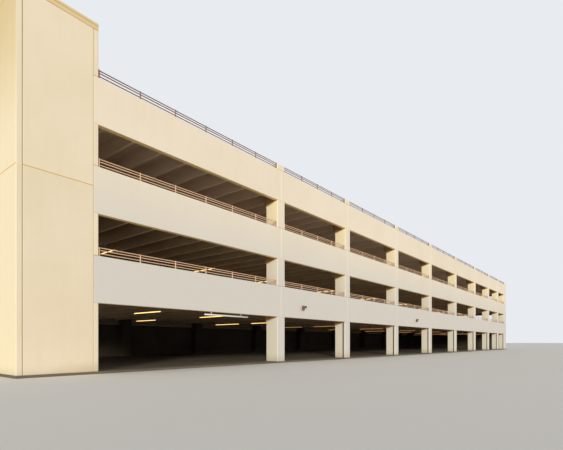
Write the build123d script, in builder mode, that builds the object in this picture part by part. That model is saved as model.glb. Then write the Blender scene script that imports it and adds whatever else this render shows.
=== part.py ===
# Open precast concrete parking garage with a stair tower at its left end, as a 1:10 scale model.
#
# Millimetres at the model's size: 1 mm here is 10 mm of the building.
# X runs along the street front, Y runs into the building, Z is up, and the street front faces -Y.
# Places are measured from the tower's outer corner at the street, on the ground. The origin of
# the model is the middle of its plan box, wall lights included.

import os

from build123d import *

os.makedirs("parts", exist_ok=True)

# Plan
tower_width = 296.0
tower_depth = 610.0
first_bay_length = 1169.0
street_bay_lengths = [818.0, 923.0, 915.0, 928.0, 926.0, 825.0, 676.0]
end_bay_length = 654.0
building_depth = 1880.0

# Heights
ground_slab_thickness = 10.0
ground_storey_headroom = 277.0
storey_height = 361.0
spandrel_height = 191.0
deck_below_spandrel_top = 64.0
column_stub_height = 34.0
tower_wall_height = 1387.0
tower_coping_height = 29.0
tower_lift_joint_height = 756.0

# Columns
column_width = 71.0
column_depth = 92.0
corner_pier_width = 160.0
haunch_reach = 25.0
haunch_slope_height = 36.0
haunch_face_height = 30.0

# Spandrel panels
spandrel_thickness = 25.4
panel_joint = 2.0
column_top_joint = 1.0
ledge_reach = 14.0
ledge_face_height = 15.0
ledge_slope_height = 10.0
ledge_end_clearance = 4.0

# Double tees, tied by a topping into one deck a bay
tee_target_width = 305.0
tee_depth = 86.0
tee_flange_thickness = 10.0
stem_width_at_top = 17.0
stem_width_at_bottom = 12.0
deck_joint = 1.0
tee_to_column_clearance = 2.0

# Tower
tower_wall_thickness = 20.0
tower_panel_joint = 0.8
tower_floor_thickness = 20.0
tower_roof_thickness = 15.0
tower_parapet_upstand = 19.0
coping_groove_depth = 1.0
coping_groove_height = 1.6
coping_groove_below_top = 10.0
doorway_width = 95.0
doorway_height = 210.0

# Walls that close the ground storey at the back and at the right end
ground_wall_thickness = 20.0

# Guard rails
rail_heights = [11.5, 24.5, 35.0]
rail_thickness = 3.8
rail_post_width = 4.6
front_post_target_spacing = 195.0
other_post_target_spacing = 390.0
rail_end_gap = 3.0
rail_setback = 3.5

# Clearance bar
clearance_bar_start = 860.0
clearance_bar_length = 316.0
clearance_bar_radius = 4.2
clearance_bar_drop = 12.5
hanger_inset = 45.0
hanger_spacing = 217.0
hanger_thickness = 1.6
hanger_width = 4.4
hinge_pin_radius = 1.0
hinge_running_clearance = 0.08
hinge_below_soffit = 3.2
hinge_cheek_thickness = 1.2
hinge_cheek_tail = 2.0
hinge_side_gap = 0.4

# Wall lights
wall_light_positions = [1677.0, 3673.0]
wall_light_height = 356.0
wall_light_reach = 27.0
wall_light_sides = 8
hood_radius = 10.0
hood_crown_radius = 7.0
hood_height = 28.0
hood_wall = 1.0
lamp_radius = 4.0
lamp_recess = 8.0
light_arm_length = 30.0
light_arm_width = 4.0
light_arm_rise = 4.0
junction_box_width = 10.0

# Strip lights
strip_light_length = 244.0
inner_strip_light_length = 290.0
strip_light_width = 12.0
strip_light_thickness = 6.0
strip_light_drop = 45.0
hanger_plate_thickness = 2.0
hanger_plate_length = 30.0
entrance_light_places = [220.0, 914.0]
inner_light_places = [500.0, 920.0]

# Grid lines and levels, worked out from the sizes above

level_names = ["level_2", "level_3", "roof"]
joint_lines = [tower_width + first_bay_length]
for bay_length in street_bay_lengths:
    joint_lines.append(joint_lines[-1] + bay_length)
building_length = joint_lines[-1] + end_bay_length

soffits = []
for level in range(len(level_names)):
    soffits.append(ground_slab_thickness + ground_storey_headroom + level * storey_height)
spandrel_tops = [soffit + spandrel_height for soffit in soffits]
deck_tops = [top - deck_below_spandrel_top for top in spandrel_tops]
stem_bottoms = [top - tee_depth for top in deck_tops]
column_top = spandrel_tops[-1] + column_stub_height
tower_top = tower_wall_height + tower_coping_height

origin_x = building_length / 2
origin_y = (building_depth - wall_light_reach) / 2

back_inner_face = building_depth - spandrel_thickness
right_inner_face = building_length - spandrel_thickness
right_column_line = building_depth / 2
half_column = column_width / 2
pier_edge = building_length - corner_pier_width


def tee_lines(start, end):
    """The joints between double tees from one grid line to the next, both ends included."""
    count = max(1, round((end - start) / tee_target_width))
    return [start + (end - start) * step / count for step in range(count + 1)]


bay_ends = [tower_width] + joint_lines + [right_inner_face]
bay_tee_lines = [tee_lines(start, end) for start, end in zip(bay_ends, bay_ends[1:])]
back_left_line = bay_tee_lines[0][1]
back_joint_lines = [back_left_line] + joint_lines


def place(x, y, z=0.0):
    """A place measured from the tower's outer corner, in the model's own frame."""
    return (x - origin_x, y - origin_y, z)


def block(x_range, y_range, z_range):
    """A straight block between two corners, for add() to join to a part or to cut from it."""
    corners = list(zip(x_range, y_range, z_range))
    middle = [(low + high) / 2 for low, high in zip(*corners)]
    sizes = [high - low for low, high in zip(*corners)]
    with Locations(place(*middle)):
        return Box(*sizes, mode=Mode.PRIVATE)


def side_prism(facing, start, end, profile):
    """A prism that runs along one face of the building, for add() to join to a part.

    The profile's points are (distance in from that face, height). Start and end are measured
    along X on the front and the back, and along Y on the left and the right.
    """
    frames = {
        "front": (place(start, 0.0), (0, 1, 0), (1, 0, 0)),
        "back": (place(end, building_depth), (0, -1, 0), (-1, 0, 0)),
        "left": (place(0.0, end), (1, 0, 0), (0, -1, 0)),
        "right": (place(building_length, start), (-1, 0, 0), (0, 1, 0)),
    }
    origin, inward, along = frames[facing]
    with BuildSketch(Plane(origin=origin, x_dir=inward, z_dir=along)) as section:
        with BuildLine():
            Polyline(*profile, close=True)
        make_face()
    return extrude(section.sketch, amount=end - start, mode=Mode.PRIVATE)


def rectangle(inward_range, height_range):
    """The four corners of a plain profile for side_prism."""
    near, far = inward_range
    low, high = height_range
    return [(near, low), (far, low), (far, high), (near, high)]


def save(piece, name):
    piece.part.label = name
    export_step(piece.part, f"parts/{name}.step")


# Ground slab

with BuildPart() as ground_slab:
    add(block((0.0, building_length), (0.0, building_depth), (0.0, ground_slab_thickness)))
save(ground_slab, "ground_slab")


# Columns: each is one casting, with pockets in its face for the spandrels and haunches behind

def column_profile(haunches):
    """A column seen from its side: distance in from the face, then height."""
    points = [(0.0, ground_slab_thickness)]
    for soffit, top in zip(soffits, spandrel_tops):
        points += [(0.0, soffit), (spandrel_thickness, soffit)]
        points += [(spandrel_thickness, top + column_top_joint), (0.0, top + column_top_joint)]
    points += [(0.0, column_top), (column_depth, column_top)]
    if haunches:
        haunch_end = column_depth + haunch_reach
        for soffit, stem_bottom in zip(reversed(soffits), reversed(stem_bottoms)):
            points += [(column_depth, stem_bottom), (haunch_end, stem_bottom)]
            points += [(haunch_end, stem_bottom - haunch_face_height)]
            points += [(column_depth, soffit - haunch_slope_height)]
    points += [(column_depth, ground_slab_thickness)]
    return points


def columns(facing, lines, haunches=True):
    profile = column_profile(haunches)
    return [side_prism(facing, line - half_column, line + half_column, profile) for line in lines]


def corner_pier(facing, x_range):
    return side_prism(facing, x_range[0], x_range[1], column_profile(haunches=True))


def side_pockets(facing, side_range):
    """Cuts in a corner pier's side face: the side spandrels' pockets, clear of the haunches."""
    reach = column_depth + haunch_reach
    if facing == "front":
        pocket_run = (0.0, reach)
        haunch_run = (column_depth, reach)
    else:
        pocket_run = (building_depth - reach, building_depth)
        haunch_run = (building_depth - reach, building_depth - column_depth)
    cuts = []
    for soffit, top in zip(soffits, spandrel_tops):
        cuts.append(block(side_range, pocket_run, (soffit, top + column_top_joint)))
        cuts.append(block(side_range, haunch_run, (soffit - haunch_slope_height, soffit)))
    return cuts


left_pier = (0.0, corner_pier_width)
left_skin = (0.0, spandrel_thickness)
right_pier = (pier_edge, building_length)
right_skin = (right_inner_face, building_length)

with BuildPart() as front_columns:
    add(columns("front", joint_lines))
    add(corner_pier("front", right_pier))
    add(side_pockets("front", right_skin), mode=Mode.SUBTRACT)
save(front_columns, "front_columns")

with BuildPart() as back_columns:
    add(columns("back", back_joint_lines))
    add([corner_pier("back", left_pier), corner_pier("back", right_pier)])
    add(side_pockets("back", left_skin) + side_pockets("back", right_skin), mode=Mode.SUBTRACT)
save(back_columns, "back_columns")

with BuildPart() as right_column:
    add(columns("right", [right_column_line], haunches=False))
save(right_column, "right_column")


# Spandrel panels: they butt on the column lines, and a ledge inside carries the tee stems

def ledge_profile(stem_bottom):
    ledge_end = spandrel_thickness + ledge_reach
    face_bottom = stem_bottom - ledge_face_height
    return [
        (spandrel_thickness, stem_bottom),
        (ledge_end, stem_bottom),
        (ledge_end, face_bottom),
        (spandrel_thickness, face_bottom - ledge_slope_height),
    ]


def spandrels(facing, level, panels, ledges):
    """Panels of one storey on one face; each panel and each ledge is a start and an end."""
    band = rectangle((0.0, spandrel_thickness), (soffits[level], spandrel_tops[level]))
    pieces = [side_prism(facing, start, end, band) for start, end in panels]
    ledge = ledge_profile(stem_bottoms[level])
    return pieces + [side_prism(facing, start, end, ledge) for start, end in ledges]


def between(lines, gap):
    """Stretches from each line to the next, held back by the gap at both ends."""
    return [(start + gap, end - gap) for start, end in zip(lines, lines[1:])]


half_joint = panel_joint / 2
ledge_setback = half_column + ledge_end_clearance
tower_strip_start = tower_width - tower_wall_thickness

front_panels = between([tower_strip_start] + joint_lines + [building_length], half_joint)
front_panels[-1] = (front_panels[-1][0], building_length)
front_panels[0] = (tower_strip_start + tower_panel_joint, front_panels[0][1])
front_ledges = between([tower_width - half_column] + joint_lines, ledge_setback)
front_ledges.append((joint_lines[-1] + ledge_setback, pier_edge - ledge_end_clearance))

back_panels = between([0.0] + back_joint_lines + [building_length], half_joint)
back_panels[0] = (0.0, back_panels[0][1])
back_panels[-1] = (back_panels[-1][0], building_length)
back_ledges = between(back_joint_lines, ledge_setback)
back_ledges.insert(0, (corner_pier_width + ledge_end_clearance, back_left_line - ledge_setback))
back_ledges.append((joint_lines[-1] + ledge_setback, pier_edge - ledge_end_clearance))

side_panel_end = back_inner_face - column_top_joint
left_panels = [(tower_depth + tower_panel_joint, side_panel_end)]
right_panels = [
    (spandrel_thickness + column_top_joint, right_column_line - half_joint),
    (right_column_line + half_joint, side_panel_end),
]

for level, level_name in enumerate(level_names):
    with BuildPart() as front_spandrels:
        add(spandrels("front", level, front_panels, front_ledges))
    save(front_spandrels, f"{level_name}_front_spandrels")

    with BuildPart() as back_spandrels:
        add(spandrels("back", level, back_panels, back_ledges))
    save(back_spandrels, f"{level_name}_back_spandrels")

    with BuildPart() as left_spandrel:
        add(spandrels("left", level, left_panels, []))
    save(left_spandrel, f"{level_name}_left_spandrel")

    with BuildPart() as right_spandrels:
        add(spandrels("right", level, right_panels, []))
    save(right_spandrels, f"{level_name}_right_spandrels")


# Decks: each bay's double tees, tied together by their topping and notched round the columns

def stem_centres(lines):
    """X of every stem between the tee joints of one bay, two to a tee."""
    centres = []
    for left, right in zip(lines, lines[1:]):
        centres += [left + (right - left) * share for share in (0.25, 0.75)]
    return centres


def deck_profile(lines, deck_top):
    """The deck of one bay seen from its end: a thin flange on tapered stems."""
    flange_bottom = deck_top - tee_flange_thickness
    left = lines[0] + deck_joint / 2 - origin_x
    right = lines[-1] - deck_joint / 2 - origin_x
    points = [(left, deck_top), (left, flange_bottom)]
    for centre in stem_centres(lines):
        middle = centre - origin_x
        points.append((middle - stem_width_at_top / 2, flange_bottom))
        points.append((middle - stem_width_at_bottom / 2, deck_top - tee_depth))
        points.append((middle + stem_width_at_bottom / 2, deck_top - tee_depth))
        points.append((middle + stem_width_at_top / 2, flange_bottom))
    points += [(right, flange_bottom), (right, deck_top)]
    return points


def deck(lines, start, end, deck_top):
    with BuildSketch(Plane.XZ.offset(origin_y - end)) as section:
        with BuildLine():
            Polyline(*deck_profile(lines, deck_top), close=True)
        make_face()
    return extrude(section.sketch, amount=end - start, mode=Mode.PRIVATE)


def column_notches():
    """The plan boxes that a deck keeps clear, one for each column that rises through it."""
    gap = tee_to_column_clearance
    near = (0.0, column_depth + gap)
    far = (building_depth - column_depth - gap, building_depth)
    notches = [((line - half_column - gap, line + half_column + gap), near) for line in joint_lines]
    notches += [((line - half_column - gap, line + half_column + gap), far) for line in back_joint_lines]
    notches += [((pier_edge - gap, building_length), near), ((pier_edge - gap, building_length), far)]
    notches.append(((0.0, corner_pier_width + gap), far))
    side_reach = (building_length - column_depth - gap, building_length)
    side_run = (right_column_line - half_column - gap, right_column_line + half_column + gap)
    notches.append((side_reach, side_run))
    return notches


deck_start = spandrel_thickness + deck_joint
deck_end = back_inner_face - deck_joint
decks = [([spandrel_thickness, tower_width], tower_depth + deck_joint)]
decks += [(lines, deck_start) for lines in bay_tee_lines]

for deck_top, level_name in zip(deck_tops, level_names):
    with BuildPart() as double_tees:
        add([deck(lines, start, deck_end, deck_top) for lines, start in decks])
        through = (deck_top - tee_depth, deck_top)
        add([block(x_range, y_range, through) for x_range, y_range in column_notches()],
            mode=Mode.SUBTRACT)
    save(double_tees, f"{level_name}_double_tees")


# Walls of the ground storey

ground_wall_band = rectangle((0.0, ground_wall_thickness),
                             (ground_slab_thickness, soffits[0] - tower_panel_joint))
wall_setback = half_column + tower_panel_joint

with BuildPart() as back_ground_walls:
    back_walls = between(back_joint_lines, wall_setback)
    back_walls.insert(0, (corner_pier_width + tower_panel_joint, back_left_line - wall_setback))
    back_walls.append((joint_lines[-1] + wall_setback, pier_edge - tower_panel_joint))
    add([side_prism("back", start, end, ground_wall_band) for start, end in back_walls])
save(back_ground_walls, "back_ground_walls")

with BuildPart() as right_ground_walls:
    right_walls = between([column_depth - half_column, right_column_line], wall_setback)
    right_walls.append((right_column_line + wall_setback,
                        building_depth - column_depth - tower_panel_joint))
    add([side_prism("right", start, end, ground_wall_band) for start, end in right_walls])
save(right_ground_walls, "right_ground_walls")


# Stair tower: four walls in two lifts, a floor at each deck, a roof and a coping

lifts = [
    (ground_slab_thickness, tower_lift_joint_height),
    (tower_lift_joint_height + tower_panel_joint, tower_wall_height),
]
inner_left = tower_wall_thickness + tower_panel_joint
inner_right = tower_strip_start - tower_panel_joint
tower_back_face = tower_depth - tower_wall_thickness

with BuildPart() as tower_front_wall:
    add([block((inner_left, inner_right), (0.0, tower_wall_thickness), lift) for lift in lifts])
save(tower_front_wall, "tower_front_wall")

with BuildPart() as tower_left_wall:
    add([block((0.0, tower_wall_thickness), (0.0, tower_depth), lift) for lift in lifts])
save(tower_left_wall, "tower_left_wall")

with BuildPart() as tower_right_wall:
    strip = (tower_strip_start, tower_width)
    add([block(strip, (0.0, tower_depth), lift) for lift in lifts])
    pockets = [(soffit, top + column_top_joint) for soffit, top in zip(soffits, spandrel_tops)]
    add([block(strip, (0.0, spandrel_thickness), pocket) for pocket in pockets], mode=Mode.SUBTRACT)
save(tower_right_wall, "tower_right_wall")

# The wall at the back of the tower has a doorway on each storey: panels stand beside the doorways,
# lintel panels close the wall between them, and a ledge outside carries the deck behind the tower
tower_middle = tower_width / 2
doorway = (tower_middle - doorway_width / 2, tower_middle + doorway_width / 2)
thresholds = [ground_slab_thickness] + deck_tops
door_heads = [threshold + doorway_height for threshold in thresholds]
back_run = (tower_back_face, tower_depth)

with BuildPart() as tower_back_wall:
    beside = [(inner_left, doorway[0]), (doorway[1], inner_right)]
    add([block(run, back_run, lift) for run in beside for lift in lifts])
save(tower_back_wall, "tower_back_wall")

closed_heights = []
for head, next_threshold in zip(door_heads, thresholds[1:] + [tower_wall_height]):
    for low, high in lifts:
        if min(high, next_threshold) > max(low, head):
            closed_heights.append((max(low, head), min(high, next_threshold)))

with BuildPart() as tower_back_lintels:
    add([block(doorway, back_run, heights) for heights in closed_heights])
save(tower_back_lintels, "tower_back_lintels")

with BuildPart() as tower_back_ledges:
    ledge_x = (spandrel_thickness + ledge_end_clearance, inner_right)
    ledge_y = (tower_depth, tower_depth + ledge_reach)
    add([block(ledge_x, ledge_y, (bottom - ledge_face_height, bottom)) for bottom in stem_bottoms])
save(tower_back_ledges, "tower_back_ledges")

inside_x = (tower_wall_thickness, tower_strip_start)
inside_y = (tower_wall_thickness, tower_back_face)
with BuildPart() as tower_floors:
    slabs = [(deck_top - tower_floor_thickness, deck_top) for deck_top in deck_tops]
    add([block(inside_x, inside_y, slab) for slab in slabs])
save(tower_floors, "tower_floors")

roof_top = tower_top - tower_parapet_upstand
with BuildPart() as tower_roof:
    add(block(inside_x, inside_y, (roof_top - tower_roof_thickness, roof_top)))
save(tower_roof, "tower_roof")

with BuildPart() as tower_coping:
    whole_x = (0.0, tower_width)
    whole_y = (0.0, tower_depth)
    band = (tower_wall_height, tower_top)
    groove_top = tower_top - coping_groove_below_top
    groove = (groove_top - coping_groove_height, groove_top)
    add(block(whole_x, whole_y, band))
    add([
        block(inside_x, inside_y, band),
        block((0.0, coping_groove_depth), whole_y, groove),
        block((tower_width - coping_groove_depth, tower_width), whole_y, groove),
        block(whole_x, (0.0, coping_groove_depth), groove),
        block(whole_x, (tower_depth - coping_groove_depth, tower_depth), groove),
    ], mode=Mode.SUBTRACT)
save(tower_coping, "tower_coping")


# Guard rails: three bars on posts that stand on the spandrel tops, stopped short of each column

rail_stretches = {
    "front": between([tower_width - half_column] + joint_lines, half_column),
    "back": between(back_joint_lines, half_column),
    "left": [(tower_depth, building_depth - column_depth)],
    "right": [
        (column_depth, right_column_line - half_column),
        (right_column_line + half_column, building_depth - column_depth),
    ],
}
rail_stretches["front"].append((joint_lines[-1] + half_column, pier_edge))
rail_stretches["back"].insert(0, (corner_pier_width, back_left_line - half_column))
rail_stretches["back"].append((joint_lines[-1] + half_column, pier_edge))

post_band = (rail_setback, rail_setback + rail_post_width)
rail_band = (post_band[1], post_band[1] + rail_thickness)
post_top = rail_heights[-1] + rail_thickness / 2


def rails(facing, start, end, base):
    """The three bars of one stretch."""
    bars = []
    for height in rail_heights:
        bar = (base + height - rail_thickness / 2, base + height + rail_thickness / 2)
        profile = rectangle(rail_band, bar)
        bars.append(side_prism(facing, start + rail_end_gap, end - rail_end_gap, profile))
    return bars


def posts(facing, start, end, base):
    """The posts of one stretch, one at each end and the rest evenly between."""
    first = start + rail_end_gap
    last = end - rail_end_gap - rail_post_width
    target = front_post_target_spacing if facing == "front" else other_post_target_spacing
    spaces = max(1, round((last - first) / target))
    starts = [first + (last - first) * step / spaces for step in range(spaces + 1)]
    profile = rectangle(post_band, (base, base + post_top))
    return [side_prism(facing, at, at + rail_post_width, profile) for at in starts]


for facing, stretches in rail_stretches.items():
    placed = [(start, end, base) for base in spandrel_tops for start, end in stretches]

    with BuildPart() as guard_rails:
        add([bar for stretch in placed for bar in rails(facing, *stretch)])
    save(guard_rails, f"{facing}_guard_rails")

    with BuildPart() as rail_posts:
        add([post for stretch in placed for post in posts(facing, *stretch)])
    save(rail_posts, f"{facing}_rail_posts")


# Clearance bar: a tube on two straps that swing on pins under the first spandrel

hinge_y = spandrel_thickness / 2
hinge_z = soffits[0] - hinge_below_soffit
bar_z = hinge_z - clearance_bar_drop
hanger_centres = [
    clearance_bar_start + hanger_inset,
    clearance_bar_start + hanger_inset + hanger_spacing,
]
cheek_offset = hanger_thickness / 2 + hinge_side_gap
bracket_half_width = cheek_offset + hinge_cheek_thickness


def rod_along_x(start, end, radius, height):
    """A round rod along X, at the hinge's place in the building's depth."""
    with BuildSketch(Plane.YZ.offset(start - origin_x)) as section:
        with Locations((hinge_y - origin_y, height)):
            Circle(radius)
    return extrude(section.sketch, amount=end - start, mode=Mode.PRIVATE)


strap_run = (hinge_y - hanger_width / 2, hinge_y + hanger_width / 2)

with BuildPart() as clearance_bar:
    bar_end = clearance_bar_start + clearance_bar_length
    add(rod_along_x(clearance_bar_start, bar_end, clearance_bar_radius, bar_z))
    for centre in hanger_centres:
        strap = (centre - hanger_thickness / 2, centre + hanger_thickness / 2)
        add(block(strap, strap_run, (bar_z, hinge_z + hanger_width / 2)))
        bore = rod_along_x(*strap, hinge_pin_radius + hinge_running_clearance, hinge_z)
        add(bore, mode=Mode.SUBTRACT)
save(clearance_bar, "clearance_bar")

with BuildPart() as clearance_bar_brackets:
    for centre in hanger_centres:
        low = centre - bracket_half_width
        high = centre + bracket_half_width
        for cheek in [(low, centre - cheek_offset), (centre + cheek_offset, high)]:
            add(block(cheek, strap_run, (hinge_z - hinge_cheek_tail, soffits[0])))
        add(rod_along_x(centre - cheek_offset, centre + cheek_offset, hinge_pin_radius, hinge_z))
save(clearance_bar_brackets, "clearance_bar_brackets")


# Wall lights: a tapered hood, open below with a lamp in it, on an arm from a junction box beside it

hood_axis_out = wall_light_reach - hood_radius


def hood_cone(light_x, heights, radii):
    """A few-sided cone on the hood's upright axis, from its low end to its high end."""
    axis_x, axis_y, _ = place(light_x, -hood_axis_out)
    with BuildSketch(Plane.XY.offset(heights[0])) as low_end:
        with Locations((axis_x, axis_y)):
            RegularPolygon(radii[0], wall_light_sides)
    with BuildSketch(Plane.XY.offset(heights[1])) as high_end:
        with Locations((axis_x, axis_y)):
            RegularPolygon(radii[1], wall_light_sides)
    return loft([low_end.sketch, high_end.sketch], mode=Mode.PRIVATE)


def centred(middle, width):
    return (middle - width / 2, middle + width / 2)


hood_bottom, hood_top = centred(wall_light_height, hood_height)
hood_ceiling = hood_top - hood_wall
arm_height = wall_light_height + light_arm_rise

with BuildPart() as wall_lights:
    for light_x in wall_light_positions:
        box_x = light_x + light_arm_length
        add(block(centred(box_x, junction_box_width), (-hood_axis_out, 0.0),
                  centred(arm_height, junction_box_width)))
        add(block((light_x, box_x), centred(-hood_axis_out, light_arm_width),
                  centred(arm_height, light_arm_width)))
        add(hood_cone(light_x, (hood_bottom, hood_top), (hood_radius, hood_crown_radius)))
        add(hood_cone(light_x, (hood_bottom, hood_ceiling),
                      (hood_radius - hood_wall, hood_crown_radius - hood_wall)), mode=Mode.SUBTRACT)
        add(hood_cone(light_x, (hood_bottom + lamp_recess, hood_ceiling), (lamp_radius, lamp_radius)))
save(wall_lights, "wall_lights")


# Strip lights of the ground storey, each hung on a plate: below two tee stems of the entrance bay,
# and in a row down the middle of every other bay

def strip_light(row, middle, length, hung_from):
    """One tube, and the plate that hangs it from the deck over it."""
    body_top = stem_bottoms[0] - strip_light_drop
    body_heights = (body_top - strip_light_thickness, body_top)
    body = block(centred(row, strip_light_width), centred(middle, length), body_heights)
    plate = block(centred(row, hanger_plate_thickness), centred(middle, hanger_plate_length),
                  (body_top, hung_from))
    return [body, plate]


with BuildPart() as strip_lights:
    entrance_stems = stem_centres(bay_tee_lines[0])
    quarter = len(entrance_stems) // 4
    for row in (entrance_stems[quarter], entrance_stems[-quarter - 1]):
        for light_y in entrance_light_places:
            add(strip_light(row, light_y, strip_light_length, stem_bottoms[0]))
    flange_bottom = deck_tops[0] - tee_flange_thickness
    for lines in bay_tee_lines[1:]:
        middle_of_bay = (lines[0] + lines[-1]) / 2
        for light_y in inner_light_places:
            add(strip_light(middle_of_bay, light_y, inner_strip_light_length, flange_bottom))
save(strip_lights, "strip_lights")
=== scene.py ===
import math

import bmesh
import bpy
from mathutils import Matrix, Vector


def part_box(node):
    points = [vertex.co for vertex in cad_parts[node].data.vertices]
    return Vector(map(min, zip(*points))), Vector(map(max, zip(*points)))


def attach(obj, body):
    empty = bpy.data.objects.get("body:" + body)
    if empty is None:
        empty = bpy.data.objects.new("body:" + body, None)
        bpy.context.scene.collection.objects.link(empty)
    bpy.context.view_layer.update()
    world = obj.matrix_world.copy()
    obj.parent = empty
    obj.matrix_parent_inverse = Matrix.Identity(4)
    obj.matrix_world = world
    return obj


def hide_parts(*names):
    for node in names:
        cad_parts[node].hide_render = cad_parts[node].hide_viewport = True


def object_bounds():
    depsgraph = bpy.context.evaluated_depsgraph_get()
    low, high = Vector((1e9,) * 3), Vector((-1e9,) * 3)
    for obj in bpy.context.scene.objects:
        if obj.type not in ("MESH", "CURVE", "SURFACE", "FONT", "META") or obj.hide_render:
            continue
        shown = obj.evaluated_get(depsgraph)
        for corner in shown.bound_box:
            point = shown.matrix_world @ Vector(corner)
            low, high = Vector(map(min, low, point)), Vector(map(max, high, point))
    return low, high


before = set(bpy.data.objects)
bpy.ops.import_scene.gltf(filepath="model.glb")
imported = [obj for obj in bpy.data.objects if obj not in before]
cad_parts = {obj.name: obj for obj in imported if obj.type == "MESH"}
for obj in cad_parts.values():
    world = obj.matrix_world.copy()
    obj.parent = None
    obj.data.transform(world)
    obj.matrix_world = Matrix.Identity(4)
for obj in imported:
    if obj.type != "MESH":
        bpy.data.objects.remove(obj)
cad_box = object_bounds()

# Ground slab: one pour of concrete on the ground, broomed across the lanes. It is a warm dark grey,
# and saw cuts on the column lines control its cracks.
MM = 0.001


def srgb(code):
    """A hex colour, such as #E9DDC4, as the linear values that a shader takes."""
    parts = [int(code[at:at + 2], 16) / 255 for at in (1, 3, 5)]
    linear = [part / 12.92 if part <= 0.04045 else ((part + 0.055) / 1.055) ** 2.4
              for part in parts]
    return (*linear, 1.0)


def add_node(tree, kind, inputs=None, **settings):
    """Adds a node; an input is either a value or the output that feeds it."""
    node = tree.nodes.new(kind)
    for name, value in settings.items():
        setattr(node, name, value)
    for name, value in (inputs or {}).items():
        if isinstance(value, bpy.types.NodeSocket):
            tree.links.new(value, node.inputs[name])
        else:
            node.inputs[name].default_value = value
    return node


def new_finish(name, roughness, metallic=0.0):
    """A material with its node tree and shader."""
    material = bpy.data.materials.new(name)
    material.use_nodes = True
    shader = material.node_tree.nodes["Principled BSDF"]
    shader.inputs["Roughness"].default_value = roughness
    shader.inputs["Metallic"].default_value = metallic
    return material, material.node_tree, shader


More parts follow.
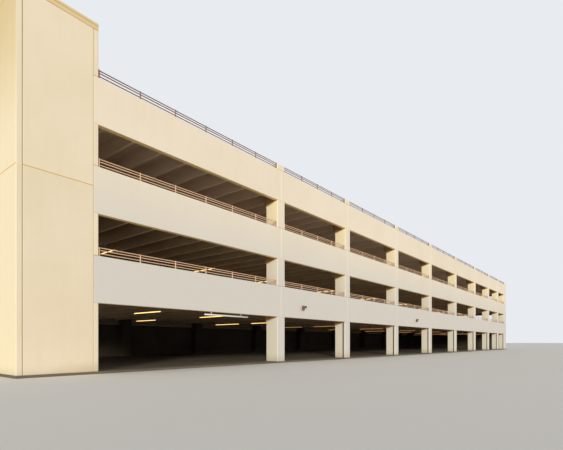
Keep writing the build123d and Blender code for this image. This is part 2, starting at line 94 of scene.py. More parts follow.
def cast_concrete(name, tones, patch, streak, roughness, grit, runs_show=0.35, splash=None,
                  height_tone=None, height_tone_span=(1040, 440), spandrel_shadow=None):
    """Concrete or paint on it: soft patches between two tones, and runs of a third tone.

    Patch is the size of the patches and streak the width of the runs along x, y and z, in metres.
    Grit is the depth of the surface's unevenness. Splash is a colour that rises from the ground.
    A tone that thickens between two heights is painted light and shade that change with height.
    A brown below each row of spandrels, down to a slanted line, is the spandrels' painted shadow.
    """
    material, tree, shader = new_finish(name, roughness)
    place = add_node(tree, "ShaderNodeTexCoord").outputs["Object"]
    clouds = add_node(tree, "ShaderNodeTexNoise",
                      {"Vector": place, "Scale": 1 / patch, "Detail": 6.0, "Roughness": 0.62})
    share = add_node(tree, "ShaderNodeMapRange",
                     {"Value": clouds.outputs["Fac"], "From Min": 0.34, "From Max": 0.66})
    body = add_node(tree, "ShaderNodeMix", {0: share.outputs["Result"], 6: srgb(tones[0]),
                                            7: srgb(tones[1])}, data_type="RGBA")
    drawn = add_node(tree, "ShaderNodeVectorMath",
                     {0: place, 1: tuple(1 / width for width in streak)}, operation="MULTIPLY")
    runs = add_node(tree, "ShaderNodeTexNoise",
                    {"Vector": drawn.outputs["Vector"], "Scale": 1.0, "Detail": 4.0,
                     "Roughness": 0.6})
    run_share = add_node(tree, "ShaderNodeMapRange",
                         {"Value": runs.outputs["Fac"], "From Min": 0.50, "From Max": 0.80,
                          "To Max": runs_show})
    streaked = add_node(tree, "ShaderNodeMix", {0: run_share.outputs["Result"],
                                                6: body.outputs[2], 7: srgb(tones[2])},
                        data_type="RGBA")
    island = add_node(tree, "ShaderNodeNewGeometry").outputs["Random Per Island"]
    batch = add_node(tree, "ShaderNodeMapRange", {"Value": island, "To Min": 0.965, "To Max": 1.0})
    colour = add_node(tree, "ShaderNodeVectorMath",
                      {0: streaked.outputs[2], 1: batch.outputs["Result"]}, operation="MULTIPLY")
    paint = colour.outputs["Vector"]
    axes = add_node(tree, "ShaderNodeSeparateXYZ", {"Vector": place})
    height = axes.outputs["Z"]
    # Painted light and shade: the colour eases toward a second tone between two heights.
    if height_tone:
        height_share = add_node(tree, "ShaderNodeMapRange",
                         {"Value": height, "From Min": height_tone_span[0] * MM,
                          "From Max": height_tone_span[1] * MM, "To Max": 0.95},
                         interpolation_type="SMOOTHSTEP")
        greyed = add_node(tree, "ShaderNodeMix", {0: height_share.outputs["Result"], 6: paint,
                                                  7: srgb(height_tone)}, data_type="RGBA")
        paint = greyed.outputs[2]
    # Painted shadow: brown above a line that slopes down inward like the spandrels' cast shadow.
    if spandrel_shadow:
        soffits = [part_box(f"{level}_front_spandrels")[0].z for level in ("level_2", "level_3")]
        faces = [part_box("front_columns")[0].y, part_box("back_columns")[1].y]
        half_way = (faces[1] - faces[0]) / 2
        aside = add_node(tree, "ShaderNodeMath", {0: axes.outputs["Y"], 1: sum(faces) / 2},
                         operation="SUBTRACT")
        away = add_node(tree, "ShaderNodeMath", {0: aside.outputs["Value"]}, operation="ABSOLUTE")
        shadow_drop = add_node(tree, "ShaderNodeMapRange",
                        {"Value": away.outputs["Value"], "From Min": half_way - column_depth,
                         "From Max": half_way, "To Min": 24 * MM, "To Max": 0.0})
        slanted = add_node(tree, "ShaderNodeMath", {0: height, 1: shadow_drop.outputs["Result"]},
                           operation="ADD")
        storey = add_node(tree, "ShaderNodeMath",
                          {0: slanted.outputs["Value"], 1: soffits[1] + 60 * MM,
                           2: soffits[0] + 60 * MM}, operation="WRAP")
        shadow_share = add_node(tree, "ShaderNodeMapRange",
                           {"Value": storey.outputs["Value"], "From Min": soffits[1] - 9 * MM,
                            "From Max": soffits[1] + 3 * MM, "To Max": 0.95},
                           interpolation_type="SMOOTHSTEP")
        browned = add_node(tree, "ShaderNodeMix", {0: shadow_share.outputs["Result"], 6: paint,
                                                   7: srgb(spandrel_shadow)}, data_type="RGBA")
        paint = browned.outputs[2]
    if splash:
        ragged = add_node(tree, "ShaderNodeMath", {0: clouds.outputs["Fac"], 1: 0.09, 2: height},
                          operation="MULTIPLY_ADD")
        low_down = add_node(tree, "ShaderNodeMapRange",
                            {"Value": ragged.outputs["Value"], "From Min": 0.11, "From Max": 0.045,
                             "To Max": 0.6}, interpolation_type="SMOOTHSTEP")
        soiled = add_node(tree, "ShaderNodeMix", {0: low_down.outputs["Result"], 6: paint,
                                                  7: srgb(splash)}, data_type="RGBA")
        paint = soiled.outputs[2]
    tree.links.new(paint, shader.inputs["Base Color"])
    sand = add_node(tree, "ShaderNodeTexNoise",
                    {"Vector": place, "Scale": 1 / (4 * MM), "Detail": 3.0})
    bump = add_node(tree, "ShaderNodeBump", {"Height": sand.outputs["Fac"], "Distance": grit,
                                             "Strength": 0.5})
    tree.links.new(bump.outputs["Normal"], shader.inputs["Normal"])
    return material


def cad_shape(node):
    """A CAD node's mesh with its points joined and its flat faces whole."""
    shape = bmesh.new()
    shape.from_mesh(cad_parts[node].data)
    bmesh.ops.remove_doubles(shape, verts=shape.verts, dist=0.005 * MM)
    bmesh.ops.dissolve_limit(shape, angle_limit=math.radians(0.5), verts=shape.verts,
                             edges=shape.edges)
    return shape


def set_piece(shape, name, finishes, stands_for=None, body="building"):
    """Puts a finished mesh in place, on the body that carries it."""
    mesh = bpy.data.meshes.new(name)
    shape.to_mesh(mesh)
    shape.free()
    piece = bpy.data.objects.new(name.replace(" ", "_"), mesh)
    bpy.context.scene.collection.objects.link(piece)
    for finish in finishes:
        mesh.materials.append(finish)
    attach(piece, body)
    if stands_for:
        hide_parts(stands_for)
    return piece


def eased_copy(node, name, finishes, edge, steps=1, pick=None, body="building", cuts=()):
    """A copy of a CAD node with its outward edges eased; pick gives each face its finish.

    Each cut is a point and a direction: faces that cross that plane are split, for their finish.
    """
    shape = cad_shape(node)
    corners = [line for line in shape.edges if line.is_convex and line.calc_face_angle(0) > 0.5]
    bmesh.ops.bevel(shape, geom=corners, offset=edge, offset_type="OFFSET", segments=steps,
                    profile=0.5, affect="EDGES", clamp_overlap=True)
    for point, direction in cuts:
        bmesh.ops.bisect_plane(shape, geom=[*shape.verts, *shape.edges, *shape.faces],
                               plane_co=point, plane_no=direction)
    if pick:
        for face in shape.faces:
            face.material_index = pick(face)
    return set_piece(shape, name, finishes, node, body)


broomed_slab = cast_concrete("Broomed ground slab concrete", ["#5F564B", "#736A5D", "#453D34"],
                             400 * MM, (500 * MM, 30 * MM, 500 * MM), 0.85, 0.3 * MM)
eased_copy("ground_slab", "Ground slab", [broomed_slab], 1.5 * MM)

# Columns: precast castings with small chamfers on every corner, in warm cream masonry paint. The
# paint is matt and fairly even, with faint rain runs, and soil splashed up at the foot.
# Painted shade: the frame's paint greys toward the ground, for the darker lower storeys.
painted_precast = cast_concrete("Masonry paint on the precast frame",
                                ["#EEE3D1", "#F2E9DA", "#E1D5C1"], 350 * MM,
                                (18 * MM, 18 * MM, 420 * MM), 0.72, 0.25 * MM, 0.2, "#BCAD93",
                                "#D5D3D1")
# Painted shade: near black on the inside faces of the columns and walls, where the garage is dark.
inside_painted_shade = cast_concrete("Precast concrete inside with painted shade", ["#3F362C", "#4B4135", "#2E271F"],
                             260 * MM, (20 * MM, 20 * MM, 300 * MM), 0.85, 0.25 * MM)
grout = cast_concrete("Dry pack grout", ["#8D8677", "#9E9788", "#736B5D"], 30 * MM,
                      (20 * MM, 20 * MM, 20 * MM), 0.9, 0.3 * MM)


def solids_of(node):
    """The box of each separate solid of a CAD node, from the lowest X up."""
    shape = cad_shape(node)
    waiting = set(shape.verts)
    boxes = []
    while waiting:
        found = [waiting.pop()]
        for point in found:
            for line in point.link_edges:
                other = line.other_vert(point)
                if other in waiting:
                    waiting.remove(other)
                    found.append(other)
        low = Vector([min(point.co[axis] for point in found) for axis in range(3)])
        high = Vector([max(point.co[axis] for point in found) for axis in range(3)])
        boxes.append((low, high))
    shape.free()
    return sorted(boxes, key=lambda pair: tuple(pair[0]))


def add_block(shape, low, high, edge, steps=1):
    """Adds a block with eased edges between two corners."""
    low, high = Vector(low), Vector(high)
    points = bmesh.ops.create_cube(shape, size=1.0)["verts"]
    for point in points:
        point.co = Vector([(low[axis] + high[axis]) / 2 + point.co[axis] * (high[axis] - low[axis])
                           for axis in range(3)])
    lines = list({line for point in points for line in point.link_edges})
    bmesh.ops.bevel(shape, geom=lines, offset=edge, offset_type="OFFSET", segments=steps,
                    profile=0.5, affect="EDGES", clamp_overlap=True)


column_depth = 92 * MM
# Painted light and shade: a sunlit copy of the paint, greyer low down, with spandrel shadows.
flank_paint_painted_light = cast_concrete("Masonry paint on the column flanks", ["#FFF2CC", "#FFF6DA", "#F6E4B6"],
                            350 * MM, (18 * MM, 18 * MM, 420 * MM), 0.72, 0.25 * MM, 0.2, "#BCAD93",
                            "#E1DED6", spandrel_shadow="#C79A5C")
# Painted shade: brown on the haunches and on the flanks behind the spandrels.
haunch_painted_shade = cast_concrete("Painted shade on the haunches and flank tops", ["#B0875C", "#BE966B", "#94704B"],
                                120 * MM, (20 * MM, 20 * MM, 120 * MM), 0.85, 0.25 * MM)
panel_rows = [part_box(f"{level}_front_spandrels") for level in ("level_2", "level_3", "roof")]
first_soffit = panel_rows[0][0].z


def behind_panels(height):
    """Whether a height on a column is within a row of spandrels, where flanks take painted shade.
    """
    return any(low.z < height < high.z for low, high in panel_rows)


def column_finish(face):
    """0 on the street face, 2 on the flanks, and 1 inside and 3 on the haunches, both painted
    shade.
    """
    middle = face.calc_center_median()
    outside = abs(face.normal.dot(inward)) > 0.7
    if face.normal.dot(inward) > 0.3 or (walled and middle.z < shade_top and not outside):
        return 1
    if middle.dot(inward) > painted_depth or (behind_panels(middle.z) and not outside):
        return 3
    return 2 if abs(face.normal.dot(across)) > 0.7 else 0


for node, name, inward in [("front_columns", "Front columns", Vector((0, 1, 0))),
                           ("back_columns", "Back columns", Vector((0, -1, 0))),
                           ("right_column", "Right column", Vector((-1, 0, 0)))]:
    low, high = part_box(node)
    painted_depth = (low.dot(inward) if sum(inward) > 0 else high.dot(inward)) + column_depth
    across = Vector((abs(inward.y), abs(inward.x), 0))
    walled = node != "front_columns"
    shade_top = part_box("level_2_double_tees")[1].z
    eased_copy(node, name, [painted_precast, inside_painted_shade, flank_paint_painted_light, haunch_painted_shade],
               1.9 * MM, pick=column_finish,
               cuts=[(inward * (painted_depth + 0.01 * MM), inward),
                     (Vector((0, 0, shade_top)), Vector((0, 0, 1))),
                     *[(corner, Vector((0, 0, 1))) for row in panel_rows for corner in row]])

slab_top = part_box("ground_slab")[1].z
beds = bmesh.new()
for node, near in [("front_columns", True), ("back_columns", False)]:
    for low, high in solids_of(node):
        back = low.y + column_depth if near else high.y
        front = low.y if near else high.y - column_depth
        low_corner = (max(low.x - 1.2 * MM, cad_box[0].x), max(front - 1.2 * MM, cad_box[0].y))
        high_corner = (min(high.x + 1.2 * MM, cad_box[1].x), min(back + 1.2 * MM, cad_box[1].y))
        add_block(beds, (*low_corner, slab_top - 2 * MM), (*high_corner, slab_top + 1.6 * MM),
                  0.4 * MM)
set_piece(beds, "Grout under the columns", [grout])

# Spandrel panels: flat precast panels, face down in the mould, so the street face is smooth and its
# arrises are chamfered. The joints between them hold a bead of sealant, painted over with the wall.
# The paint below is a fuller gold, which stands in for the low sun that it catches off the ground.
# Partly painted shade: bare concrete inside the spandrels, kept darker than the tees.
bare_inside_shaded = cast_concrete("Bare precast concrete inside with painted shade", ["#8A7762", "#9A8770", "#6C5A48"],
                            260 * MM, (20 * MM, 20 * MM, 300 * MM), 0.85, 0.25 * MM)
paint_below_bounce_light = cast_concrete("Masonry paint below with painted bounce light", ["#FFD78A", "#FFDD98", "#F4C074"],
                              200 * MM, (60 * MM, 60 * MM, 60 * MM), 0.72, 0.2 * MM)


def mottled(name, roughness, dark, light, size, detail, metallic=0.0, glow=0.0):
    """A finish with patches of one size, in metres, between two close tones; glow lights it up."""
    material, tree, shader = new_finish(name, roughness, metallic)
    place = add_node(tree, "ShaderNodeTexCoord").outputs["Object"]
    patches = add_node(tree, "ShaderNodeTexNoise",
                       {"Vector": place, "Scale": 1 / size, "Detail": detail})
    tones = add_node(tree, "ShaderNodeMix", {0: patches.outputs["Fac"], 6: srgb(dark),
                                             7: srgb(light)}, data_type="RGBA")
    tree.links.new(tones.outputs[2], shader.inputs["Base Color"])
    if glow:
        tree.links.new(tones.outputs[2], shader.inputs["Emission Color"])
        shader.inputs["Emission Strength"].default_value = glow
    return material


sealant = mottled("Painted polyurethane sealant", 0.6, "#E6D6B6", "#F0E3C8", 12 * MM, 2.0)

sides = [("front_spandrels", Vector((0, 1, 0))), ("back_spandrels", Vector((0, -1, 0))),
         ("left_spandrel", Vector((1, 0, 0))), ("right_spandrels", Vector((-1, 0, 0)))]
panel_thickness = 25.4 * MM
levels = [("level_2", "Level 2"), ("level_3", "Level 3"), ("roof", "Roof")]
joint_beads = bmesh.new()
for level, level_title in levels:
    for node, inward in sides:
        low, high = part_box(f"{level}_{node}")
        outer = low.dot(inward) if sum(inward) > 0 else high.dot(inward)
        deep = outer + panel_thickness - 1 * MM
        bottom = low.z + 0.2 * MM
        eased_copy(f"{level}_{node}", f"{level_title} {node.replace('_', ' ')}",
                   [painted_precast, bare_inside_shaded, paint_below_bounce_light], 1.4 * MM,
                   pick=lambda face: 2 if face.calc_center_median().z < bottom
                   else int(face.calc_center_median().dot(inward) > deep))
    for node in ("front_spandrels", "back_spandrels"):
        panels = solids_of(f"{level}_{node}")
        face = panels[0][0].y if node == "front_spandrels" else panels[0][1].y
        inward = 1 if node == "front_spandrels" else -1
        for one, other in zip(panels, panels[1:]):
            depths = sorted([face + inward * 1.6 * MM, face + inward * 12 * MM])
            add_block(joint_beads, (one[1].x - 0.4 * MM, depths[0], one[0].z + 1.2 * MM),
                      (other[0].x + 0.4 * MM, depths[1], one[1].z - 1.2 * MM), 0.3 * MM)
set_piece(joint_beads, "Sealant between the spandrels", [sealant])

# Decks: prestressed double tees cast in long steel moulds, so stems and soffits are smooth, with
# drawn marks along them. Left bare, they are a warm brown grey, and the topping is paler and worn.
# The narrow bottoms of the stems are the palest and the roof's tees are paler than the rest, both
# as painted light on the same concrete.
tee_soffit = cast_concrete("Steel moulded tee concrete", ["#C6AC8B", "#D5BD9D", "#A58A6B"],
                           260 * MM, (14 * MM, 420 * MM, 60 * MM), 0.8, 0.2 * MM)
roof_soffit_painted_light = cast_concrete("Steel moulded roof tee concrete", ["#F6DCC3", "#FBE8D2", "#DFC3A4"],
                           260 * MM, (14 * MM, 420 * MM, 60 * MM), 0.8, 0.2 * MM)
# Painted light: the stem bottoms are paler, as lit from the ground below.
stem_bottom_painted_light = cast_concrete("Concrete on the stem bottoms with painted light",
                                 ["#FFE3B0", "#FFEABF", "#EBC991"],
                                 260 * MM, (14 * MM, 420 * MM, 60 * MM), 0.75, 0.2 * MM)
topping = cast_concrete("Worn deck topping", ["#B0A696", "#BDB4A5", "#8F8575"], 500 * MM,
                        (35 * MM, 600 * MM, 60 * MM), 0.85, 0.3 * MM)
joint_filler = mottled("Grey deck joint sealant", 0.65, "#4A4742", "#6A655C", 25 * MM, 3.0)

tee_width = 305 * MM
deck_joints = bmesh.new()
for level, level_title in levels:
    stem_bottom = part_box(f"{level}_double_tees")[0].z + 0.2 * MM
    eased_copy(f"{level}_double_tees", f"{level_title} double tees",
               [roof_soffit_painted_light if level == "roof" else tee_soffit, topping, stem_bottom_painted_light],
               0.9 * MM,
               pick=lambda face: 2 if face.calc_center_median().z < stem_bottom
               else int(face.normal.z > 0.5))
    for low, high in solids_of(f"{level}_double_tees"):
        tees = max(1, round((high.x - low.x) / tee_width))
        for step in range(tees + 1):
            line = low.x + (high.x - low.x) * step / tees
            add_block(deck_joints, (line - 1.1 * MM, low.y + 62 * MM, high.z - 1 * MM),
                      (line + 1.1 * MM, high.y - 62 * MM, high.z + 0.25 * MM), 0.2 * MM)
set_piece(deck_joints, "Sealant between the double tees", [joint_filler])

# Ground storey walls: precast panels that close the back and the right end. They are painted
# outside; inside they are near black, as painted shade for the dark ground storey.
eased_copy("back_ground_walls", "Back ground walls", [painted_precast, inside_painted_shade],
           1.4 * MM, pick=lambda face: int(face.normal.y < -0.5))
eased_copy("right_ground_walls", "Right ground walls", [painted_precast, inside_painted_shade],
           1.4 * MM, pick=lambda face: int(face.normal.x < -0.5))

# Opening posts: a slim steel channel, painted dark bronze, stands against the column at each end of
# a ground storey opening, from the slab to the spandrel. The entrance has none on its own side.
bronze_channel = mottled("Dark bronze paint on steel channel", 0.5,
                         "#2E261F", "#41372D", 20 * MM, 4.0)
street_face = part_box("front_columns")[0].y
channel_setback = 14 * MM
channel_width = 8 * MM
channel_depth = 3.2 * MM
channel_foot = slab_top - 0.5 * MM
channel_top = first_soffit + 0.5 * MM
channels = bmesh.new()
columns = solids_of("front_columns")
for at, (low, high) in enumerate(columns):
    for flank, way in [(low.x, -1), (high.x, 1)]:
        if (at == 0 and way < 0) or (at == len(columns) - 1 and way > 0):
            continue
        near = street_face + channel_setback
        far = near + channel_width
        out = flank + way * channel_depth
        runs = sorted([flank - way * 0.2 * MM, out])
        web = sorted([out, out - way * 1.1 * MM])
        for span, near_y, far_y in [(runs, near, near + 1.2 * MM), (runs, far - 1.2 * MM, far),
                                    (web, near, far)]:
            add_block(channels, (span[0], near_y, channel_foot), (span[1], far_y, channel_top),
                      0.25 * MM)
set_piece(channels, "Opening posts", [bronze_channel])

# Stair tower: full width wall panels in two lifts, painted like the garage. Their chamfered edges
# meet in shadowed joints at the corners and halfway up, and a banded coping finishes the top.
tower_paint = cast_concrete("Masonry paint on the precast tower", ["#E9DCC4", "#EEE2CD", "#DDCEB2"],
                            350 * MM, (18 * MM, 18 * MM, 420 * MM), 0.72, 0.25 * MM, 0.2, "#BCAD93")
# Painted sunlight: the tower's left side has its own yellower paint, lighter lower down.
side_paint_painted_sun = cast_concrete("Masonry paint on the tower's side with painted sun", ["#D8C391", "#DDCAA0", "#CCB27F"],
                           350 * MM, (18 * MM, 18 * MM, 420 * MM), 0.72, 0.25 * MM, 0.2, "#BCAD93",
                           "#F1E6CA", (1360, 820))
for node in ["tower_front_wall", "tower_left_wall", "tower_right_wall"]:
    eased_copy(node, node.replace("_", " ").capitalize(), [tower_paint, side_paint_painted_sun],
               1.8 * MM, pick=lambda face: int(face.normal.x < -0.7))
for node in ["tower_back_wall", "tower_back_lintels", "tower_back_ledges"]:
    eased_copy(node, node.replace("_", " ").capitalize(), [tower_paint],
               1.2 * MM)
coping_paint = cast_concrete("Masonry paint on the tower coping", ["#DEC592", "#E4CFA2", "#D2B47D"],
                             350 * MM, (90 * MM, 90 * MM, 40 * MM), 0.72, 0.25 * MM)
coping_low, coping_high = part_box("tower_coping")
coping_middle = (coping_low + coping_high) / 2
eased_copy("tower_coping", "Tower coping", [coping_paint], 0.6 * MM,
           cuts=[(coping_middle, Vector((1, 0, 0))), (coping_middle, Vector((0, 1, 0)))])
golden_sealant = mottled("Golden polysulphide sealant", 0.6, "#CFA637", "#DAB34C",
                         12 * MM, 2.0)
aged_sealant = mottled("Aged golden polysulphide sealant", 0.6, "#9C7028", "#B08437",
                       12 * MM, 2.0)
brown_sealant = mottled("Brown polysulphide sealant", 0.6, "#A08A6E", "#AE997B",
                        12 * MM, 2.0)
stone_sealant = mottled("Stone coloured polysulphide sealant", 0.6, "#CBB997", "#D6C5A5",
                        12 * MM, 2.0)
tower_low, tower_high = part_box("tower_front_wall")
left_low, left_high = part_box("tower_left_wall")
right_low, right_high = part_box("tower_right_wall")
back_low, back_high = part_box("tower_back_wall")
lift_joint = 756 * MM
bead_bottom = lift_joint - 1.9 * MM
bead_top = lift_joint + 2.7 * MM
bead_depth = 6 * MM
lift_bead = bmesh.new()
add_block(lift_bead, (left_high.x - 0.7 * MM, left_low.y + 0.7 * MM, bead_bottom),
          (right_high.x - 0.7 * MM, left_low.y + bead_depth, bead_top), 0.4 * MM)
add_block(lift_bead, (left_low.x + 0.7 * MM, left_low.y + bead_depth, bead_bottom),
          (left_low.x + bead_depth, left_high.y - bead_depth, bead_top), 0.4 * MM)
add_block(lift_bead, (left_low.x + 0.7 * MM, left_high.y - bead_depth, bead_bottom),
          (right_high.x - 0.7 * MM, left_high.y - 0.7 * MM, bead_top), 0.4 * MM)
start_x, end_x = left_low.x + 0.5 * MM, right_high.x - 0.5 * MM
inner_low, inner_high = left_low.y + 5 * MM, left_high.y - 5 * MM
coping_runs = [(start_x, end_x, left_low.y + 0.3 * MM, inner_low),
               (start_x, end_x, inner_high, left_high.y - 0.5 * MM),
               (start_x, left_low.x + 5 * MM, inner_low, inner_high),
               (right_high.x - 5 * MM, end_x, inner_low, inner_high)]
coping_beads = bmesh.new()
for under in (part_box("tower_coping")[0].z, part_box("tower_coping")[1].z - 10.8 * MM):
    for low_x, high_x, low_y, high_y in coping_runs:
        add_block(coping_beads, (low_x, low_y, under - 1.5 * MM),
                  (high_x, high_y, under + 0.9 * MM), 0.3 * MM)
set_piece(lift_bead, "Sealant at the tower lifts", [golden_sealant])
set_piece(coping_beads, "Sealant at the tower coping", [aged_sealant])
end_bead = bmesh.new()
add_block(end_bead, (left_low.x + 1.2 * MM, left_low.y + 0.1 * MM, bead_bottom),
          (left_high.x - 0.8 * MM, left_low.y + bead_depth, bead_top), 0.3 * MM)
set_piece(end_bead, "Painted sealant on the left wall end", [sealant])
for joint, bead_width, name, finish in [
        ((left_high.x + tower_low.x) / 2, 2.6 * MM, "Sealant at the tower left corners",
         brown_sealant),
        ((tower_high.x + right_low.x) / 2, 1.8 * MM, "Sealant at the tower right corners",
         stone_sealant)]:
    corner_beads = bmesh.new()
    for low_y, high_y in [(left_low.y + 0.5 * MM, left_low.y + bead_depth),
                          (back_high.y - bead_depth, back_high.y - 0.5 * MM)]:
        add_block(corner_beads, (joint - bead_width / 2, low_y, left_low.z + 1 * MM),
                  (joint + bead_width / 2, high_y, left_high.z - 1 * MM), 0.3 * MM)
    set_piece(corner_beads, name, [finish])
eased_copy("tower_floors", "Tower floors", [tee_soffit, topping], 1 * MM,
           pick=lambda face: int(face.normal.z > 0.5))
roofing = cast_concrete("Mineral roofing felt", ["#A8A49B", "#B7B3AA", "#8E897F"], 120 * MM,
                        (90 * MM, 500 * MM, 90 * MM), 0.9, 0.5 * MM)
eased_copy("tower_roof", "Tower roof", [roofing], 1 * MM)

# Guard rails: welded square steel tube, painted tan brown; the roof's are darker as painted shade.
# Three bars run along each side, and each post stands on a plate bolted to the spandrel's top.
rail_paint = mottled("Tan enamel on steel tube", 0.42, "#D0A889", "#DEBA9D", 60 * MM, 4.0)
roof_rail_painted_shade = mottled("Enamel on the roof rails with painted shade", 0.5,
                         "#85625A", "#98746A", 60 * MM, 4.0)
roof_rail_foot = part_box("roof_front_spandrels")[1].z - 1 * MM
zinc_bolts = mottled("Zinc plated anchor bolts", 0.35, "#A9A8A4", "#C9C8C4", 1.5 * MM, 2.0, 1.0)


def add_rod(shape, foot, along, radius, sides=12, edge=0.0):
    """Adds a round rod from its foot, with its rim eased."""
    along = Vector(along)
    turn = Vector((0, 0, 1)).rotation_difference(along).to_matrix().to_4x4()
    middle = Matrix.Translation(Vector(foot) + along / 2)
    points = bmesh.ops.create_cone(shape, cap_ends=True, segments=sides, radius1=radius,
                                   radius2=radius, depth=along.length,
                                   matrix=middle @ turn)["verts"]
    if edge:
        faces = {face for point in points for face in point.link_faces if len(face.verts) == sides}
        rims = list({line for face in faces for line in face.edges})
        bmesh.ops.bevel(shape, geom=rims, offset=edge, offset_type="OFFSET", segments=2,
                        profile=0.5, affect="EDGES", clamp_overlap=True)
    return points


foot_plates = bmesh.new()
anchor_bolts = bmesh.new()
for side in ["front", "back", "left", "right"]:
    title = side.capitalize()
    eased_copy(f"{side}_guard_rails", f"{title} guard rails", [rail_paint, roof_rail_painted_shade],
               0.7 * MM, steps=2,
               pick=lambda face: int(face.calc_center_median().z > roof_rail_foot))
    eased_copy(f"{side}_rail_posts", f"{title} rail posts", [rail_paint, roof_rail_painted_shade],
               0.6 * MM,
               pick=lambda face: int(face.calc_center_median().z > roof_rail_foot))
    for low, high in solids_of(f"{side}_rail_posts"):
        middle = (low + high) / 2
        across = 6.5 * MM if side in ("front", "back") else 4 * MM
        deep = 4 * MM if side in ("front", "back") else 6.5 * MM
        add_block(foot_plates, (middle.x - across, middle.y - deep, low.z - 0.2 * MM),
                  (middle.x + across, middle.y + deep, low.z + 0.8 * MM), 0.25 * MM)
        for way in (-1, 1):
            step = (Vector((way * 4.6 * MM, 0, 0)) if across > deep
                    else Vector((0, way * 4.6 * MM, 0)))
            foot = Vector((middle.x, middle.y, low.z + 0.7 * MM)) + step
            add_rod(anchor_bolts, foot, (0, 0, 0.9 * MM), 0.85 * MM, 6)
set_piece(foot_plates, "Rail foot plates", [rail_paint])
set_piece(anchor_bolts, "Rail anchor bolts", [zinc_bolts])

# Clearance bar: a white plastic pipe hung under the first spandrel on two galvanised straps, which
# swing on pins between bracket cheeks. The pipe is smooth and slightly glossy, with eased ends.
pipe_plastic = mottled("White plastic pipe", 0.32, "#E3E1E4", "#F0EFF2", 40 * MM, 4.0)
galvanised, tree, shader = new_finish("Galvanised steel", 0.6, 0.1)
place = add_node(tree, "ShaderNodeTexCoord").outputs["Object"]
flakes = add_node(tree, "ShaderNodeTexVoronoi", {"Vector": place, "Scale": 1 / (1.2 * MM)})
flaked = add_node(tree, "ShaderNodeMix", {0: flakes.outputs["Color"], 6: srgb("#DCDCDA"),
                                          7: srgb("#ECECEA")}, data_type="RGBA")
tree.links.new(flaked.outputs[2], shader.inputs["Base Color"])

bar_low, bar_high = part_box("clearance_bar")
bar_radius = 4.2 * MM
bar_axis = Vector((0, (bar_low.y + bar_high.y) / 2, bar_low.z + bar_radius))


def on_the_pipe(face):
    """0 for a face of the pipe, 1 for a face of a strap."""
    middle = face.calc_center_median()
    reach = math.hypot(middle.y - bar_axis.y, middle.z - bar_axis.z)
    return int(reach > bar_radius + 0.2 * MM)


eased_copy("clearance_bar", "Clearance bar", [pipe_plastic, galvanised], 0.3 * MM,
           pick=on_the_pipe, body="clearance_bar")
eased_copy("clearance_bar_brackets", "Clearance bar brackets", [galvanised],
           0.2 * MM)

# Wall lights: a spun steel hood in orange brown enamel, open below with a frosted lamp inside. It
# hangs from a bent pipe that runs to a cast aluminium box on the wall beside it.
brown_enamel = mottled("Orange brown enamel on spun steel", 0.55, "#58350F", "#6A441B", 8 * MM, 3.0)
cast_aluminium = mottled("Weathered cast aluminium", 0.55, "#4D4A44", "#67635B", 2 * MM, 3.0, 0.6)
frosted_glass = mottled("Frosted lamp glass", 0.35, "#E4DFD0", "#F2EEE2", 1.5 * MM, 2.0)


def add_turned(shape, axis, profile, sides=36):
    """Adds a turned form from its rings' radii and heights; two equal end rings close it."""
    rings = []
    for radius, height in profile:
        rings.append([shape.verts.new((axis.x + radius * MM * math.cos(math.tau * step / sides),
                                       axis.y + radius * MM * math.sin(math.tau * step / sides),
                                       axis.z + height * MM)) for step in range(sides)])
    for one, other in zip(rings, rings[1:]):
        for at in range(sides):
            beside = (at + 1) % sides
            shape.faces.new((one[at], one[beside], other[beside], other[at])).smooth = True
    for ring, (radius, height) in [(rings[0], profile[0]), (rings[-1], profile[-1])]:
        if profile[0] != profile[-1]:
            shape.faces.new(ring)
    bmesh.ops.remove_doubles(shape, verts=shape.verts, dist=0.0005 * MM)
    bmesh.ops.recalc_face_normals(shape, faces=shape.faces)


hood_profile = [(9.3, 0.0), (10.0, 0.0), (10.0, 0.9), (9.7, 1.3), (9.4, 6.0), (8.8, 12.0),
                (8.1, 18.0), (7.4, 23.0), (6.6, 26.0), (5.0, 27.5), (2.4, 28.0), (2.4, 27.0),
                (4.8, 26.6), (6.2, 24.6), (7.2, 18.0), (8.2, 10.0), (9.0, 3.0), (9.3, 0.0)]
lamp_profile = [(0.8, 8.2), (2.4, 8.8), (3.5, 10.4), (3.9, 13.0), (3.5, 16.5), (2.6, 19.5),
                (2.4, 27.6)]
hoods = bmesh.new()
lamps = bmesh.new()
arms = bmesh.new()
for low, high in solids_of("wall_lights"):
    axis = Vector((low.x + 10 * MM, low.y + 10 * MM, low.z))
    add_turned(hoods, axis, hood_profile)
    add_turned(lamps, axis, lamp_profile, 24)
    arm_height = low.z + 22 * MM
    box_middle = high.x - 5 * MM
    add_rod(arms, (axis.x + 6.5 * MM, axis.y, arm_height), (box_middle - axis.x - 7 * MM, 0, 0),
            1.7 * MM, 16)
    add_rod(arms, (axis.x + 7.6 * MM, axis.y, arm_height), (2.2 * MM, 0, 0), 2.6 * MM, 16, 0.3 * MM)
    add_block(arms, (box_middle - 5 * MM, low.y + 6 * MM, arm_height - 5 * MM),
              (box_middle + 5 * MM, high.y, arm_height + 5 * MM), 0.8 * MM, 2)
    add_block(arms, (box_middle - 4.2 * MM, low.y + 5.4 * MM, arm_height - 4.2 * MM),
              (box_middle + 4.2 * MM, low.y + 7 * MM, arm_height + 4.2 * MM), 0.3 * MM)
set_piece(hoods, "Wall light hoods", [brown_enamel], "wall_lights")
set_piece(lamps, "Wall light lamps", [frosted_glass])
set_piece(arms, "Wall light arms", [cast_aluminium])

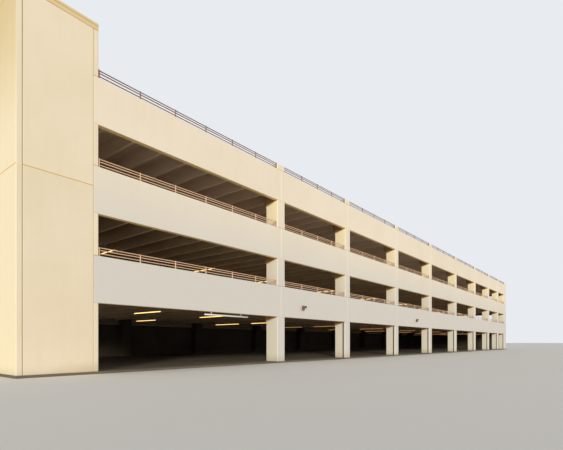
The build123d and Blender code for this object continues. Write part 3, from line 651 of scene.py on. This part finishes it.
# Strip lights: a white enamelled steel tray with a bare tube in two sockets under it, hung from the
# deck on a bracket. The tubes burn a deep gold, the aged ones past the second bay dimmer. The upper
# storeys have them below one or two stems of each long bay, in from the street.
bright_tube = mottled("Lit golden lamp tube", 0.3, "#FFC469", "#FFD68C", 30 * MM, 1.0, glow=2.4)
dim_tube = mottled("Lit aged lamp tube", 0.3, "#DE9A52", "#E8AA64", 30 * MM, 1.0, glow=0.85)
white_enamel = mottled("White enamel on sheet steel", 0.45, "#A89C8A", "#B9AE9D", 30 * MM, 3.0)
trays = bmesh.new()
tubes = bmesh.new()


def hang_strip_light(low, high):
    """Fills the space between two corners: the bracket takes all of it above the lowest 6 mm."""
    middle = (low + high) / 2
    tray_top = low.z + 6 * MM
    add_block(trays, (low.x, low.y, tray_top - 2.6 * MM), (high.x, high.y, tray_top), 0.6 * MM)
    add_block(trays, (middle.x - 1 * MM, middle.y - 15 * MM, tray_top - 0.2 * MM),
              (middle.x + 1 * MM, middle.y + 15 * MM, high.z), 0.3 * MM)
    for end in (low.y + 3 * MM, high.y - 3 * MM):
        add_block(trays, (middle.x - 3 * MM, end - 2.2 * MM, low.z + 0.2 * MM),
                  (middle.x + 3 * MM, end + 2.2 * MM, tray_top - 2.2 * MM), 0.5 * MM)
    add_rod(tubes, (middle.x, low.y + 4 * MM, low.z + 2.4 * MM), (0, high.y - low.y - 8 * MM, 0),
            2.3 * MM, 12)


strips = solids_of("strip_lights")
entrance_end = cad_box[0].x + 2300 * MM
for low, high in [pair for pair in strips if pair[1].x < entrance_end]:
    hang_strip_light(low, high)
set_piece(tubes, "Entrance strip light tubes", [bright_tube])
tubes = bmesh.new()
for low, high in [pair for pair in strips if pair[1].x >= entrance_end]:
    hang_strip_light(low, high)
set_piece(tubes, "Inner strip light tubes", [dim_tube])
set_piece(trays, "Strip light trays", [white_enamel], "strip_lights")

trays = bmesh.new()
tubes = bmesh.new()
for level in ("level_3", "roof"):
    stem_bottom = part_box(f"{level}_double_tees")[0].z
    shape = cad_shape(f"{level}_double_tees")
    stems = sorted({round(face.calc_center_median().x, 4) for face in shape.faces
                    if face.normal.z < -0.5
                    and face.calc_center_median().z < stem_bottom + 0.2 * MM})
    shape.free()
    for low, high in solids_of(f"{level}_double_tees"):
        under = [line for line in stems if low.x < line < high.x]
        if high.y - low.y < 1000 * MM or len(under) < 4:
            continue
        rows = [under[2], under[-1]] if len(under) > 7 else [under[-2]]
        for row in rows:
            hang_strip_light(Vector((row - 6 * MM, street_face + 528 * MM, stem_bottom - 51 * MM)),
                             Vector((row + 6 * MM, street_face + 772 * MM, stem_bottom + 0.2 * MM)))
set_piece(trays, "Upper strip light trays", [white_enamel])
set_piece(tubes, "Upper strip light tubes", [bright_tube])

# Stage: a plain pale floor and a pale backdrop.
floor_paint = mottled("Pale studio floor", 0.9, "#EAE8E3", "#EEECE8", 1.25, 3.0)
floor_mesh = bpy.data.meshes.new("Floor")
reach = 120.0
floor_mesh.from_pydata([(-reach, -reach, 0), (reach, -reach, 0), (reach, reach, 0),
                        (-reach, reach, 0)], [], [(0, 1, 2, 3)])
floor_mesh.materials.append(floor_paint)
floor = bpy.data.objects.new("Floor", floor_mesh)
bpy.context.scene.collection.objects.link(floor)

world = bpy.data.worlds.new("Pale backdrop")
bpy.context.scene.world = world
world.use_nodes = True
tree = world.node_tree
tree.nodes.clear()
ray = add_node(tree, "ShaderNodeLightPath")
seen = add_node(tree, "ShaderNodeMath", {0: ray.outputs["Is Camera Ray"],
                                         1: ray.outputs["Is Glossy Ray"]}, operation="MAXIMUM")
seen_through = add_node(tree, "ShaderNodeMath", {0: seen.outputs["Value"],
                                                 1: ray.outputs["Is Transmission Ray"]},
                        operation="MAXIMUM")
light = add_node(tree, "ShaderNodeBackground", {"Color": srgb("#F2F5FB"), "Strength": 0.48})
backdrop = add_node(tree, "ShaderNodeBackground", {"Color": srgb("#E8ECF0"), "Strength": 1.0})
either = add_node(tree, "ShaderNodeMixShader", {0: seen_through.outputs["Value"],
                                                1: light.outputs["Background"],
                                                2: backdrop.outputs["Background"]})
add_node(tree, "ShaderNodeOutputWorld", {"Surface": either.outputs["Shader"]})

# Light: one soft warm key from the left of the street front.
key_light = bpy.data.lights.new("Key light", "SUN")
key_light.energy = 2.58
key_light.angle = math.radians(10)
key_light.color = (1.0, 0.90, 0.70)
key = bpy.data.objects.new("Key light", key_light)
key.rotation_euler = Vector((-0.74, -0.62, 0.16)).to_track_quat("Z", "Y").to_euler()
bpy.context.scene.collection.objects.link(key)

# Camera: eye height on the street by the tower's corner, held level with the lens shifted up.
lens = bpy.data.cameras.new("Camera")
lens.lens = 26.42
lens.sensor_width = 36.0
lens.shift_y = 0.2087
lens.clip_start = 0.01
lens.clip_end = 400.0
camera = bpy.data.objects.new("Camera", lens)
camera.location = (-4.598, -2.5565, 0.127)
camera.rotation_euler = (math.radians(90), 0, math.radians(-50.84))
bpy.context.scene.collection.objects.link(camera)
bpy.context.scene.camera = camera
bpy.context.scene.view_settings.view_transform = "Standard"
